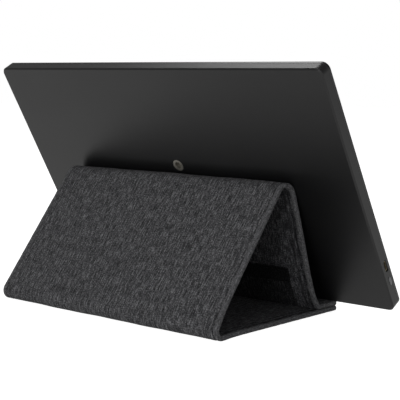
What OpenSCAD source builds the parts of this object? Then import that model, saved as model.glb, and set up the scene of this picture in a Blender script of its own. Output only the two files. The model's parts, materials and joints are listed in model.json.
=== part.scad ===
// Portable monitor leaning on its own fabric cover, which is folded into a three-sided stand.
// +Z is up, +X runs along the monitor's width with the port on the -X side, the screen faces -Y.
// Origin: on the floor, under the middle of the whole object.

/* [Monitor housing] */
// Thickness of the monitor
monitor_t = 11.8; // [11.6:0.1:14]
// Corner radius of the housing outline
corner_r = 6; // [4:0.5:9]
// Wall of the moulded rear cover at the sides
side_wall = 1.8; // [1.4:0.1:2.4]
// Wall of the moulded rear cover at the back
back_wall = 1.6; // [1.2:0.1:2]
// Chamfer round the back edge
back_chamfer = 1.2; // [0.6:0.1:1.6]
// Chamfer round the front edge
front_chamfer = 0.6; // [0.3:0.1:0.9]
// Depth of the front bezel's rim, from the parting line to the screen side
bezel_rim = 3.7; // [3.5:0.1:4.4]
// Depth and width of the V groove at the parting line
parting_groove = 0.35; // [0.2:0.05:0.6]

/* [Screen] */
// Width of the visible picture area
view_w = 344.2; // [300:0.1:380]
// Height of the visible picture area
view_h = 193.6; // [174:0.1:213]
// Border between the picture area and each side of the housing
side_border = 7.9; // [7.9:0.1:12]
// Border above the picture area
top_border = 8; // [7:0.1:12]
// Border below the picture area
chin_h = 23.4; // [21:0.1:26]
// Front wall of the bezel over the edge of the screen
bezel_wall = 1.2; // [0.9:0.1:1.5]
// Overlap of the bezel over the edge of the glass
glass_overlap = 1.9; // [1:0.1:2.4]
// Thickness of the glass cell
cell_t = 1.3; // [1:0.1:1.5]
// Thickness of the stack of optical films
films_t = 0.6; // [0.4:0.1:0.8]
// Thickness of the light guide plate
guide_t = 1.6; // [1.2:0.1:1.8]
// Thickness of the reflector sheet
reflector_t = 0.3; // [0.2:0.05:0.4]
// Sheet thickness of the metal tray behind the screen
tray_t = 0.5; // [0.4:0.1:0.7]

/* [Port and key] */
// Height of the port's centre above the bottom edge
port_up = 42; // [36:1:60]
// Height of the key's centre above the bottom edge
key_up = 27; // [25:1:29]
// Length of the port's opening in the housing
port_slot_l = 10.6; // [10:0.1:12]
// Width of the port's opening in the housing
port_slot_w = 4.6; // [4.2:0.1:5.2]
// Length of the port's metal shell
shell_l = 8.94; // [8.6:0.02:9.2]
// Width of the port's metal shell
shell_w = 3.26; // [3:0.02:3.5]
// Depth of the port's metal shell
shell_depth = 6.8; // [6:0.1:6.8]
// Sheet thickness of the port's shell
shell_wall = 0.3; // [0.2:0.05:0.4]
// Length of the contact tongue across the port
tongue_l = 6.69; // [6.5:0.01:6.8]
// Thickness of the contact tongue
tongue_t = 0.7; // [0.6:0.05:0.8]
// Length of the key's cap
key_l = 7.4; // [6:0.1:8]
// Width of the key's cap
key_w = 2.8; // [2.4:0.1:3.2]
// Clearance round the key's cap
key_gap = 0.2; // [0.1:0.05:0.3]
// Travel of the key
key_travel = 0.4; // [0.2:0.1:0.6]
// How far the key's cap stands out of the side
key_out = 0.3; // [0.1:0.1:0.6]
// Thickness of the flange that keeps the key in
key_flange_t = 0.8; // [0.6:0.1:1]

/* [Tripod insert] */
// Height of the insert's centre above the bottom edge
insert_up = 130; // [128:1:150]
// Wall radius of the insert's hole, for a quarter inch screw
insert_bore_r = 3.25; // [3.2:0.01:3.3]
// Radius of the insert's body
insert_r = 4.4; // [4:0.1:5]
// Radius of the insert's flange, seen from behind
flange_r = 5.4; // [5:0.1:6]
// Thickness of the insert's flange
flange_t = 0.8; // [0.5:0.1:1]
// Length of the insert
insert_l = 5.2; // [4.6:0.1:5.3]
// Floor left at the blind end of the insert's hole
insert_floor = 0.5; // [0.3:0.1:1]
// Wall of the moulded boss round the insert
boss_wall = 2.2; // [1.4:0.1:3]

/* [Boards] */
// Thickness of the circuit boards
board_t = 1; // [0.8:0.1:1.1]
// Length of the main board along the monitor's width
board_l = 118; // [100:1:140]
// Height of the main board
board_h = 52; // [48:1:60]
// Radius of a board screw's shank
screw_r = 1; // [0.8:0.1:1.2]
// Radius of a board screw's head
screw_head_r = 2; // [1.8:0.1:2.4]
// Height of a board screw's head
screw_head_h = 1; // [0.7:0.1:1.2]
// Distance of a board screw from the board's edges
screw_inset = 5; // [4:0.5:6]
// Distance of the two screws beside the port from the board's end there
screw_port_inset = 14; // [12:0.5:16]
// Gap between the main board's back and the tray, with the parts between them
board_drop = 2.5; // [2.3:0.1:2.7]
// Height of the driver board behind the tray
timing_h = 12; // [10:1:16]
// Distance of the driver board's end from the tray's side
timing_end = 27.4; // [10:0.2:60]
// Height of the screening can
can_h = 1.2; // [1:0.1:1.3]
// Sheet thickness of the screening can
can_wall = 0.2; // [0.1:0.05:0.3]
// Distance of the screening can from the board's long edges
can_inset = 10; // [9:1:14]
// Distance of the screening can from the board's end beside the port
can_start = 20; // [18:1:26]
// Distance of the screening can from the board's far end
can_end = 14; // [12:1:20]
// Width of the main chip on the board's back
chip_w = 16; // [10:1:18]
// Distance of the main chip from the board's end beside the port
chip_start = 48; // [40:1:54]
// Width of the ribbon between the boards
ribbon_w = 8; // [6:1:12]
// Thickness of the ribbon
ribbon_t = 0.3; // [0.2:0.05:0.4]

/* [Ribs] */
// Thickness of the ribs inside the rear cover
rib_w = 1.2; // [0.8:0.1:1.6]
// Distance between the ribs
rib_step = 70; // [50:1:80]
// How far the ledge reaches under the tray
ledge_hold = 2.4; // [1.5:0.1:3]
// Thickness of the bezel's skirt
skirt_t = 1; // [0.8:0.1:1.4]
// Depth of the bezel's skirt behind the parting line
skirt_l = 1.4; // [1:0.1:1.6]

/* [Stand] */
// Lean of the monitor back from upright
lean = 29.8; // [25:0.1:32]
// Width of the cover
cover_w = 246; // [230:0.5:300]
// Distance of the cover's middle from the monitor's middle
cover_shift = 3; // [-30:0.5:30]
// Thickness of a cover panel
panel_t = 4.1; // [3.9:0.1:4.6]
// Length of the lip from the foot fold to its free edge
lip_l = 27.5; // [27:0.5:36]
// Length of the front panel, from the foot fold to where the ridge's bend starts
front_l = 106; // [101:0.5:112]
// Length of the rear panel between the ridge's bend and the heel's bend
rear_l = 123; // [117:0.5:131]
// Radius of the bend at the ridge, to the middle of the panel
ridge_r = 11; // [9:0.5:13]
// Radius of the bend at the heel, to the middle of the panel
heel_r = 5.6; // [5:0.1:7]
// Distance of the foot fold behind the monitor's bottom edge
foot_back = 19.5; // [16:0.5:22]
// Height of the pocket's mouth above the foot fold, along the front panel
mouth_up = 38; // [30:1:46]

/* [Cover layers] */
// Thickness of the outer fabric
skin_t = 1; // [0.7:0.1:1.2]
// Thickness of the stiffening boards
stiff_t = 1.8; // [1.4:0.1:2]
// Width of the bound edge outside the boards
margin_w = 7; // [5:0.5:10]
// Thickness of the dark lining inside the flap
lining_t = 0.6; // [0.4:0.1:0.8]
// Width of the closing tape on the flap's lining
tape_w = 13; // [10:1:16]
// Gap between cover pieces that move against each other
fold_gap = 0.3; // [0.2:0.05:0.4]
// Gap between the foot fold and the stiffener in the lip
board_end = 5; // [4.4:0.2:8]
// Gap between the ends of the boards and the bends
bend_gap = 1; // [0.6:0.2:3]
// Radius of a magnet
magnet_r = 5; // [4:0.5:6]
// Number of magnets in the lip and in the base
magnet_count = 4; // [2:1:6]

/* [Hidden] */
$fn = 48;
BIG = 900;          // longer than any piece, for cutting
SKIM = 0.1;         // a cut runs this far past the face that it opens
HAIR = 0.05;        // radial gap of pieces that are pressed in

// Cover: the four panels lie round a triangle and all lengths close it
panel_r = panel_t / 2;
pocket_t = panel_t - skin_t - stiff_t;
skin_low = panel_r - skin_t;
stiff_low = skin_low - stiff_t;
seat_drop = back_chamfer * sin(lean);
edge_z = 2 * panel_t + 2 * fold_gap - seat_drop;    // height of the monitor's sharp back edge
foot_z = panel_t + fold_gap + panel_r;
// The ridge's bend lies against the monitor's back, so that is how far its centre is behind the monitor
ridge_off = ridge_r + panel_r + fold_gap;
start_y = ridge_off * cos(lean) - foot_back;
start_z = edge_z - ridge_off * sin(lean) - foot_z;
along = start_y * sin(lean) + start_z * cos(lean);
front_reach = norm([front_l, ridge_r]);             // from the foot fold to the centre of the ridge's bend
ridge_up = -along + sqrt(front_reach * front_reach - start_y * start_y - start_z * start_z + along * along);
ridge_y = ridge_up * sin(lean) + ridge_off * cos(lean);
ridge_z = edge_z + ridge_up * cos(lean) - ridge_off * sin(lean);
heel_z = panel_r + heel_r;
rear_reach = norm([rear_l, ridge_r - heel_r]);      // between the centres of the two bends
heel_y = ridge_y + sqrt(rear_reach * rear_reach - (ridge_z - heel_z) * (ridge_z - heel_z));
tip_y = foot_back - lip_l;
base_l = heel_y - tip_y;
front_angle = atan2(ridge_z - foot_z, ridge_y - foot_back) + atan2(ridge_r, front_l);
rear_angle = -atan2(ridge_z - heel_z, heel_y - ridge_y) - atan2(ridge_r - heel_r, rear_l);
// Puts the middle of the base panel over the origin
mid_y = (heel_y + heel_r + panel_r + tip_y) / 2;

// Half of the angle left between lip and front panel, on the side where they close
foot_half = (180 - front_angle) / 2;
// How far each bend turns
ridge_turn = front_angle - rear_angle;
heel_turn = 180 + rear_angle;

inner_w = cover_w - 2 * panel_r;    // width of the flat layers between the piped edges
board_w = cover_w - 2 * margin_w;

// Monitor: the housing goes round the picture area, and depths run from the back to the screen
monitor_w = view_w + 2 * side_border;
monitor_h = chin_h + view_h + top_border;
part_z = monitor_t - bezel_rim;
glass_front = monitor_t - bezel_wall;
glass_back = glass_front - cell_t;
films_back = glass_back - films_t;
guide_back = films_back - guide_t;
reflector_back = guide_back - reflector_t;
tray_back = reflector_back - tray_t;
view_mid = chin_h + view_h / 2;
cell_w = view_w + 2 * glass_overlap;
cell_h = view_h + 2 * glass_overlap;
cell_slack = 0.3;                   // room round the glass inside the tray's rim
tray_w = cell_w + 2 * cell_slack + 2 * tray_t;
tray_h = cell_h + 2 * cell_slack + 2 * tray_t;
room_w = monitor_w - 2 * side_wall;
room_h = monitor_h - 2 * side_wall;
room_r = corner_r - side_wall;

// The port's shell stands on the main board, so the port's depth follows the board's
board_back = tray_back - board_drop;
board_front = board_back + board_t;
port_z = board_front + shell_w / 2;
port_x = -monitor_w / 2 + side_wall / 2;
key_rest = -monitor_w / 2 + side_wall + 0.1;        // the key's flange lies here, inside the wall
board_x = key_rest + key_flange_t + key_travel + 0.3;
board_y = key_up - 9;
can_l = board_l - can_start - can_end;

// Places of the board screws, in pairs along the board
screw_places = [for (x = [screw_port_inset, board_l - screw_inset], y = [screw_inset, board_h - screw_inset])
    [board_x + x, board_y + y]];

// ---------- frames ----------

// Stands what is drawn lying on its back (x across, y up, z towards the screen) on the lip
module on_monitor()
    translate([0, -mid_y, edge_z]) rotate([90 - lean, 0, 0]) children();

// Frames of the cover's panels: y runs along the panel from its fold or bend, z towards its outer fabric
module on_lip()
    translate([cover_shift, foot_back - mid_y, foot_z]) children();

module on_front()
    translate([cover_shift, foot_back - mid_y, foot_z]) rotate([front_angle, 0, 0]) children();

module on_rear()
    translate([cover_shift, ridge_y - mid_y, ridge_z]) rotate([rear_angle, 0, 0])
        translate([0, 0, ridge_r]) children();

module on_base()
    translate([cover_shift, heel_y - mid_y, heel_z]) rotate([180, 0, 0])
        translate([0, 0, heel_r]) children();

// ---------- shapes ----------

// Rectangle with round corners, from its middle
module round_rect(w, h, r) {
    square([w - 2 * r, h], center = true);
    square([w, h - 2 * r], center = true);
    for (x = [-1, 1], y = [-1, 1])
        translate([x * (w / 2 - r), y * (h / 2 - r)]) circle(r);
}

// Flat plate with round corners whose bottom edge centre lies at the origin's x, between two depths
module plate(w, h, r, low, high, mid = 0)
    translate([0, mid, low]) linear_extrude(high - low) round_rect(w, h, r);

// Plate whose edge follows a profile, given outwards from the centre of its corner radius
module edged_plate(w, h, r, profile) {
    depth = max([for (p = profile) p.y]);
    low = min([for (p = profile) p.y]);
    translate([0, 0, low]) linear_extrude(depth - low) square([w - 2 * r, h - 2 * r], center = true);
    for (x = [-1, 1], y = [-1, 1])
        translate([x * (w / 2 - r), y * (h / 2 - r), 0]) rotate_extrude() polygon(profile);
    for (side = [0, 1]) {
        mirror([0, side, 0]) translate([0, h / 2 - r, 0]) rotate([90, 0, 90])
            linear_extrude(w - 2 * r, center = true) polygon(profile);
        mirror([side, 0, 0]) translate([w / 2 - r, 0, 0]) rotate([90, 0, 0])
            linear_extrude(h - 2 * r, center = true) polygon(profile);
    }
}

// Slot with round ends, lying across a side wall: long in y, wide in z, deep in x
module side_slot(length, width, deep)
    rotate([90, 0, 90]) linear_extrude(deep, center = true)
        round_rect(length, width, width / 2 - 0.001);

// Round bar along x with ball ends
module bar(w, r) {
    rotate([0, 90, 0]) cylinder(h = w - 2 * r, r = r, center = true);
    for (x = [-1, 1]) translate([x * (w / 2 - r), 0, 0]) sphere(r);
}

// Half of a bend, from the end of a panel onwards: the panel's section with its round edges, turned
// about the bend's centre. It stops short of the half turn, so the two halves never rub
module half_bend(r, turn) {
    clear = asin(fold_gap / 2 / (r - panel_r));
    translate([0, 0, -r]) rotate([0, -90, 0]) rotate_extrude(angle = turn / 2 - clear)
        translate([r, 0]) {
            square([panel_t, inner_w], center = true);
            for (side = [-1, 1]) translate([0, side * inner_w / 2]) circle(panel_r);
        }
}

// Room that the foot fold needs at the end of a panel: its round and the far side of the mitre.
// turn is the mitre's angle from the panel
module fold_room(turn) {
    rotate([0, 90, 0]) cylinder(h = BIG, r = panel_r + fold_gap, center = true);
    rotate([turn, 0, 0]) translate([-BIG / 2, -BIG / 2, -fold_gap]) cube([BIG, BIG, BIG]);
}

// One flat layer of a panel
module layer(w, from, to, low, high)
    translate([-w / 2, from, low]) cube([w, to - from, high - low]);

// Piped edges of a panel along its two sides: a half-round pipe and the strip sewn in beside the board
module side_pipes(from, to)
    for (side = [-1, 1]) {
        intersection() {
            translate([side * inner_w / 2, from, 0]) rotate([-90, 0, 0]) cylinder(h = to - from, r = panel_r);
            translate([side > 0 ? inner_w / 2 : -BIG - inner_w / 2, from - SKIM, -BIG / 2])
                cube([BIG, to - from + 2 * SKIM, BIG]);
        }
        translate([side > 0 ? board_w / 2 : -inner_w / 2, from, stiff_low])
            cube([(inner_w - board_w) / 2, to - from, stiff_t]);
    }

// Piped edge across the free end of a panel, at the distance end from its fold, and its sewn strip
module end_pipe(end, out) {
    difference() {
        translate([0, end, 0]) bar(cover_w, panel_r);
        translate([-inner_w / 2, out > 0 ? end - BIG : end, -BIG / 2]) cube([inner_w, BIG, BIG]);
        translate([-BIG / 2, out > 0 ? end - BIG : end, -BIG / 2]) cube([BIG, BIG, BIG]);
    }
    strip = margin_w - panel_r;
    translate([-inner_w / 2, out > 0 ? end - strip : end, stiff_low]) cube([inner_w, strip, stiff_t]);
}

// Places along the width for the magnets
function magnet_x(i) = (i - (magnet_count - 1) / 2) * board_w / magnet_count;
lip_core = lip_l - margin_w;            // free length of the lip's stiffener
magnet_y = -(board_end + lip_core) / 2; // middle of the stiffener, from the foot fold

// ---------- monitor ----------

// Moulded rear half of the housing, with ledge, ribs, screw bosses and openings
module rear_cover() color("#3c3c3d") on_monitor() {
    ledge = (room_w - tray_w) / 2 + ledge_hold;
    board_gap = 1;
    difference() {
        translate([0, monitor_h / 2, 0])
            edged_plate(monitor_w, monitor_h, corner_r, [[0, 0], [corner_r - back_chamfer, 0],
                [corner_r, back_chamfer], [corner_r, part_z], [0, part_z]]);
        plate(room_w, room_h, room_r, back_wall, monitor_t, monitor_h / 2);
        translate([port_x, port_up, port_z]) side_slot(port_slot_l, port_slot_w, 2 * side_wall);
        translate([port_x, key_up, port_z])
            side_slot(key_l + 2 * key_gap, key_w + 2 * key_gap, 2 * side_wall);
        translate([0, insert_up, -SKIM]) cylinder(h = back_wall + 2 * SKIM, r = insert_r + HAIR);
        translate([0, insert_up, -SKIM]) cylinder(h = flange_t + SKIM, r = flange_r + HAIR);
    }
    // ledge that carries the rim of the tray, open where the port and the key come in
    difference() {
        plate(room_w, room_h, room_r, back_wall, tray_back, monitor_h / 2);
        translate([0, monitor_h / 2, back_wall - SKIM]) linear_extrude(monitor_t)
            square([room_w - 2 * ledge, room_h - 2 * ledge], center = true);
        translate([-monitor_w / 2, board_y - board_gap, back_wall - SKIM])
            cube([monitor_w / 2, board_h + 2 * board_gap, monitor_t]);
    }
    // stiffening ribs up the back, above the boards and on both sides of the insert
    for (i = [0 : 3])
        translate([rib_step * (i - 1.5) - rib_w / 2, board_y + board_h + 8, back_wall])
            cube([rib_w, room_h - ledge - board_y - board_h - 16, tray_back - back_wall]);
    // boss of the tripod insert
    translate([0, insert_up, back_wall]) difference() {
        cylinder(h = insert_l - back_wall, r = insert_r + boss_wall);
        translate([0, 0, -SKIM]) cylinder(h = insert_l, r = insert_r + HAIR);
    }
    // bosses of the board screws
    for (p = screw_places) translate([p.x, p.y, back_wall]) difference() {
        cylinder(h = board_back - back_wall, r = screw_head_r + 0.6);
        translate([0, 0, 0.6]) cylinder(h = monitor_t, r = screw_r + HAIR);
    }
}

// Front frame: a rim over the parting line, a wall over the glass edge and a skirt that snaps in
module front_bezel() color("#232324") on_monitor() {
    slack = 0.15;
    skirt_in = slack + skirt_t;
    difference() {
        translate([0, monitor_h / 2, 0])
            edged_plate(monitor_w, monitor_h, corner_r, [[0, part_z], [corner_r - parting_groove, part_z],
                [corner_r, part_z + parting_groove], [corner_r, monitor_t - front_chamfer],
                [corner_r - front_chamfer, monitor_t], [0, monitor_t]]);
        plate(room_w - 2 * skirt_in, room_h - 2 * skirt_in, room_r - skirt_in,
            part_z - SKIM, glass_front, monitor_h / 2);
        translate([0, view_mid, 0]) linear_extrude(monitor_t + SKIM) square([view_w, view_h], center = true);
    }
    // skirt inside the rear cover's wall, cut away round the port and the key
    difference() {
        plate(room_w - 2 * slack, room_h - 2 * slack, room_r - slack, part_z - skirt_l, part_z, monitor_h / 2);
        plate(room_w - 2 * skirt_in, room_h - 2 * skirt_in, room_r - skirt_in,
            part_z - skirt_l - SKIM, monitor_t, monitor_h / 2);
        translate([-monitor_w / 2, board_y, 0]) cube([monitor_w / 4, board_h, monitor_t]);
    }
}

// Glass cell of the screen, with its matt front
module lcd_glass() color("#0d0e10") on_monitor()
    translate([-cell_w / 2, view_mid - cell_h / 2, glass_back]) cube([cell_w, cell_h, cell_t]);

// Diffuser and prism films between the glass and the light guide
module optical_films() color("#e8e8e6") on_monitor()
    translate([-cell_w / 2 + 1, view_mid - cell_h / 2 + 1, films_back]) cube([cell_w - 2, cell_h - 2, films_t]);

// Clear plate that spreads the light of the bar below it
module light_guide() color("#dfe8ea") on_monitor()
    translate([-view_w / 2, view_mid - view_h / 2, guide_back]) cube([view_w, view_h + glass_overlap, guide_t]);

// White sheet behind the light guide
module reflector_sheet() color("#f4f4f2") on_monitor()
    translate([-view_w / 2, view_mid - view_h / 2, reflector_back])
        cube([view_w, view_h + glass_overlap, reflector_t]);

// Row of lamps on a narrow board along the light guide's bottom edge
module led_bar() color("#d8c9a0") on_monitor() {
    bar_t = 0.6;
    lamp_step = 12;
    lamps = floor((view_w - 20) / lamp_step);
    bottom = view_mid - view_h / 2;
    translate([-view_w / 2, bottom - glass_overlap, reflector_back]) cube([view_w, bar_t, guide_t + reflector_t]);
    for (i = [0 : lamps - 1])
        translate([(i - (lamps - 1) / 2) * lamp_step - 1.5, bottom - glass_overlap + bar_t, guide_back])
            cube([3, glass_overlap - bar_t - 0.1, guide_t - 0.2]);
}

// Metal tray that holds glass, films and light guide, notched beside the port
module panel_tray() color("#b9bcc0") on_monitor() difference() {
    translate([-tray_w / 2, view_mid - tray_h / 2, tray_back]) cube([tray_w, tray_h, glass_back - tray_back + 0.6]);
    translate([-tray_w / 2 + tray_t, view_mid - tray_h / 2 + tray_t, tray_back + tray_t])
        cube([tray_w - 2 * tray_t, tray_h - 2 * tray_t, monitor_t]);
    translate([-monitor_w / 2, port_up - shell_l / 2 - 1, tray_back - SKIM])
        cube([(monitor_w - view_w) / 2 - 0.2, shell_l + 2, port_z + shell_w / 2 + 0.3 - tray_back]);
    translate([-monitor_w / 2, key_up - 6, tray_back - SKIM])
        cube([(monitor_w - view_w) / 2 - 0.2, 12, port_z + shell_w / 2 + 0.3 - tray_back]);
}

// Main circuit board with its chips and coils, held by four screws
module main_board() color("#1f4a33") on_monitor() difference() {
    union() {
        translate([board_x, board_y, board_back]) cube([board_l, board_h, board_t]);
        // chip on the back, four coils in front of it and a row of capacitors behind it
        part_t = [0.9, 1, 0.8];
        coil_w = 5;
        coil_step = 8;
        cap_size = [3, 1.6];
        cap_step = 6;
        coil_x = chip_start - 22;
        cap_x = chip_start + chip_w + 12;
        translate([board_x + chip_start, board_y + (board_h - chip_w) / 2, board_back - part_t[0]])
            cube([chip_w, chip_w, part_t[0]]);
        for (i = [-1.5 : 1.5])
            translate([board_x + coil_x, board_y + board_h / 2 + coil_step * i, board_back - part_t[1]])
                cube([coil_w, coil_w, part_t[1]]);
        for (i = [0 : 5])
            translate([board_x + cap_x + cap_step * i, board_y + board_h - 12, board_back - part_t[2]])
                cube([cap_size.x, cap_size.y, part_t[2]]);
    }
    for (p = screw_places) translate([p.x, p.y, 0]) cylinder(h = monitor_t, r = screw_r + 0.2);
}

// Screening can over the front of the main board
module shield_can() color("#c4c7ca") on_monitor()
    translate([board_x + can_start, board_y + can_inset, board_front]) difference() {
        cube([can_l, board_h - 2 * can_inset, can_h]);
        translate([can_wall, can_wall, -SKIM])
            cube([can_l - 2 * can_wall, board_h - 2 * can_inset - 2 * can_wall, can_h - can_wall + SKIM]);
    }

// Narrow driver board behind the tray's bottom edge
timing_x = board_x + board_l + 6;
timing_l = tray_w / 2 - timing_end - timing_x;
module timing_board() color("#2a5a3c") on_monitor()
    translate([timing_x, board_y + 6, tray_back - board_t]) cube([timing_l, timing_h, board_t]);

// Flat ribbon from the main board's edge to the driver board
module panel_ribbon() color("#b5905a") on_monitor() {
    low = board_front;
    high = tray_back - board_t - ribbon_t;
    from = board_x + board_l - 5;
    to = timing_x + 6;
    translate([0, board_y + ribbon_w + 8, 0]) rotate([90, 0, 0]) linear_extrude(ribbon_w)
        polygon([[from, low], [from + 6, low], [to - 6, high], [to, high], [to, high + ribbon_t],
            [to - 6 - ribbon_t, high + ribbon_t], [from + 6 - ribbon_t, low + ribbon_t], [from, low + ribbon_t]]);
}

// Folded metal shell of the port
module usb_c_shell() color("#c9c3ae") on_monitor()
    translate([port_x + shell_depth / 2, port_up, port_z]) difference() {
        side_slot(shell_l, shell_w, shell_depth);
        translate([-shell_wall, 0, 0])
            side_slot(shell_l - 2 * shell_wall, shell_w - 2 * shell_wall, shell_depth);
    }

// Contact tongue in the middle of the port
module usb_c_tongue() color("#1b1b1c") on_monitor()
    translate([port_x + 1.2, port_up - tongue_l / 2, port_z - tongue_t / 2])
        cube([shell_depth - 1.2 - shell_wall, tongue_l, tongue_t]);

// Power key: a cap through the side wall and a flange that keeps it in
module power_key() color("#6c6c6e") on_monitor() {
    cap_l = key_rest + monitor_w / 2 + key_out;
    translate([key_rest - cap_l / 2, key_up, port_z]) side_slot(key_l, key_w, cap_l);
    translate([key_rest + key_flange_t / 2, key_up, port_z])
        side_slot(key_l + 8 * key_gap, key_w + 2 * key_gap, key_flange_t);
}

// Small push switch on the main board behind the key
module key_switch() color("#d9d9d6") on_monitor() {
    body = 2.6;
    start = board_x;
    translate([start + 0.5, key_up - 2.5, board_front]) cube([body, 5, 3]);
    translate([start, key_up, port_z]) rotate([0, 90, 0]) cylinder(h = 0.5, r = 0.8);
}

// Threaded metal insert for a quarter inch camera screw
module tripod_insert() color("#8d8b84") on_monitor() translate([0, insert_up, 0]) difference() {
    union() {
        cylinder(h = flange_t, r = flange_r);
        cylinder(h = insert_l, r = insert_r);
    }
    translate([0, 0, -SKIM]) cylinder(h = insert_l - insert_floor + SKIM, r = insert_bore_r);
}

// The four screws of the main board
module board_screws() color("#55565a") on_monitor()
    for (p = screw_places) translate([p.x, p.y, 0]) {
        translate([0, 0, back_wall + 0.8]) cylinder(h = board_front - back_wall - 0.8, r = screw_r);
        difference() {
            translate([0, 0, board_front]) cylinder(h = screw_head_h, r = screw_head_r);
            for (turn = [0, 90]) translate([0, 0, board_front + screw_head_h]) rotate([0, 0, turn])
                cube([1.1 * screw_head_r, 0.2 * screw_head_r, screw_head_h], center = true);
        }
    }

// ---------- lip: the free end of the flap, under the monitor ----------

module lip_cuts() fold_room(-foot_half);

module lip_skin() color("#49494c") on_lip() difference() {
    layer(inner_w, panel_r - lip_l, 0, skin_low, panel_r);
    lip_cuts();
}

module lip_stiffener() color("#2b2b2d") on_lip() difference() {
    layer(board_w, margin_w - lip_l, -board_end, stiff_low, skin_low);
    for (i = [0 : magnet_count - 1])
        translate([magnet_x(i), magnet_y, stiff_low - SKIM]) cylinder(h = stiff_t + 2 * SKIM, r = magnet_r + HAIR);
}

module lip_lining() color("#232326") on_lip() difference() {
    layer(inner_w, panel_r - lip_l, 0, -panel_r, stiff_low);
    lip_cuts();
}

module lip_binding() color("#3a3a3d") on_lip() difference() {
    union() {
        side_pipes(panel_r - lip_l, 0);
        end_pipe(panel_r - lip_l, -1);
    }
    lip_cuts();
}

module lip_magnets() color("#9a9c9f") on_lip()
    for (i = [0 : magnet_count - 1])
        translate([magnet_x(i), magnet_y, stiff_low]) cylinder(h = stiff_t, r = magnet_r);

module foot_fold() color("#454548") on_lip() bar(cover_w, panel_r);

// ---------- front panel: from the foot fold up to the ridge ----------

module front_cuts() fold_room(foot_half);

module front_skin() color("#49494c") on_front() difference() {
    layer(inner_w, 0, front_l, skin_low, panel_r);
    front_cuts();
}

module front_board() color("#8a7f6c") on_front()
    layer(board_w, mouth_up, front_l - bend_gap, stiff_low, skin_low);

module front_pocket_wall() color("#3d3d40") on_front()
    layer(inner_w, mouth_up, front_l, -panel_r, stiff_low);

// Dark lining of the flap, below the pocket's mouth
module front_lining() color("#232326") on_front() difference() {
    layer(inner_w, 0, mouth_up, stiff_low - lining_t, stiff_low);
    front_cuts();
}

// Soft core of the flap and the tape that closes the pocket
module closing_tape() color("#151516") on_front()
    layer(board_w, mouth_up - 2 - tape_w, mouth_up - 2, -panel_r, stiff_low - lining_t);

module front_binding() color("#3a3a3d") on_front() difference() {
    union() {
        side_pipes(0, front_l);
        // felt core of the flap between the two edges
        layer(board_w, 0, mouth_up, stiff_low, skin_low);
    }
    front_cuts();
}

module ridge_fold() color("#4b4b4e") on_front() translate([0, front_l, 0]) half_bend(ridge_r, ridge_turn);

// ---------- rear panel: from the ridge down to the heel ----------

module rear_skin() color("#49494c") on_rear() layer(inner_w, 0, rear_l, skin_low, panel_r);

module rear_board() color("#8a7f6c") on_rear()
    layer(board_w, bend_gap, rear_l - bend_gap, stiff_low, skin_low);

module rear_pocket_wall() color("#3d3d40") on_rear() layer(inner_w, 0, rear_l, -panel_r, stiff_low);

module rear_binding() color("#3a3a3d") on_rear() side_pipes(0, rear_l);

module ridge_rear_fold() color("#4b4b4e") on_rear() mirror([0, 1, 0]) half_bend(ridge_r, ridge_turn);

module rear_fold() color("#454548") on_rear() translate([0, rear_l, 0]) half_bend(heel_r, heel_turn);

// ---------- base panel: on the floor, from the heel to under the lip ----------

base_end = base_l - panel_r;                       // end of the flat layers
base_magnet_y = base_l - lip_l - magnet_y;         // right under the lip's magnets

module base_skin() color("#49494c") on_base() layer(inner_w, 0, base_end, skin_low, panel_r);

module base_board() color("#8a7f6c") on_base() difference() {
    layer(board_w, bend_gap, base_l - margin_w, stiff_low, skin_low);
    for (i = [0 : magnet_count - 1])
        translate([magnet_x(i), base_magnet_y, stiff_low - SKIM])
            cylinder(h = stiff_t + 2 * SKIM, r = magnet_r + HAIR);
}

module base_pocket_wall() color("#3d3d40") on_base() layer(inner_w, 0, base_end, -panel_r, stiff_low);

module base_binding() color("#3a3a3d") on_base() {
    side_pipes(0, base_end);
    end_pipe(base_end, 1);
}

module heel_base_fold() color("#454548") on_base() mirror([0, 1, 0]) half_bend(heel_r, heel_turn);

module base_magnets() color("#9a9c9f") on_base()
    for (i = [0 : magnet_count - 1])
        translate([magnet_x(i), base_magnet_y, stiff_low]) cylinder(h = stiff_t, r = magnet_r);

rear_cover();
front_bezel();
lcd_glass();
optical_films();
light_guide();
reflector_sheet();
led_bar();
panel_tray();
main_board();
shield_can();
timing_board();
panel_ribbon();
usb_c_shell();
usb_c_tongue();
power_key();
key_switch();
tripod_insert();
board_screws();
lip_skin();
lip_stiffener();
lip_lining();
lip_binding();
lip_magnets();
foot_fold();
front_skin();
front_board();
front_pocket_wall();
front_lining();
closing_tape();
front_binding();
ridge_fold();
rear_skin();
rear_board();
rear_pocket_wall();
rear_binding();
ridge_rear_fold();
rear_fold();
base_skin();
base_board();
base_pocket_wall();
base_binding();
base_magnets();
heel_base_fold();
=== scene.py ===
import json
import math

import bpy
import numpy as np
from bpy.props import FloatProperty, FloatVectorProperty, PointerProperty
from bpy.types import Operator, Panel, PropertyGroup
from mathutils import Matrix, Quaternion, Vector


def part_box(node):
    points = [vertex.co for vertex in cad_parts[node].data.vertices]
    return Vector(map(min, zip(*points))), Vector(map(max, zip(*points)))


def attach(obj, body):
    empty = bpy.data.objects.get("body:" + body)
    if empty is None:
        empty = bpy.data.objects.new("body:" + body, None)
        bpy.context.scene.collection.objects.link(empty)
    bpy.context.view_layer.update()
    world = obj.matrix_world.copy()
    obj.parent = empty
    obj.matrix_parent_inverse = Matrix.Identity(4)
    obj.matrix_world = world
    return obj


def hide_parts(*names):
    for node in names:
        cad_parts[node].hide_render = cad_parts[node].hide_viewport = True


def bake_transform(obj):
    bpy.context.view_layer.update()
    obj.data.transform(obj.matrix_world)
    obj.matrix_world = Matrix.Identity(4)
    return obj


bl_info = {
    "name": "Portable Monitor with Folded Cover",
    "version": (1, 0, 0),
    "blender": (4, 5, 0),
    "location": "3D View > Sidebar > Monitor",
    "description": "Dresses a portable monitor that leans on its folded fabric cover",
    "category": "Add Mesh",
}

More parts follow.
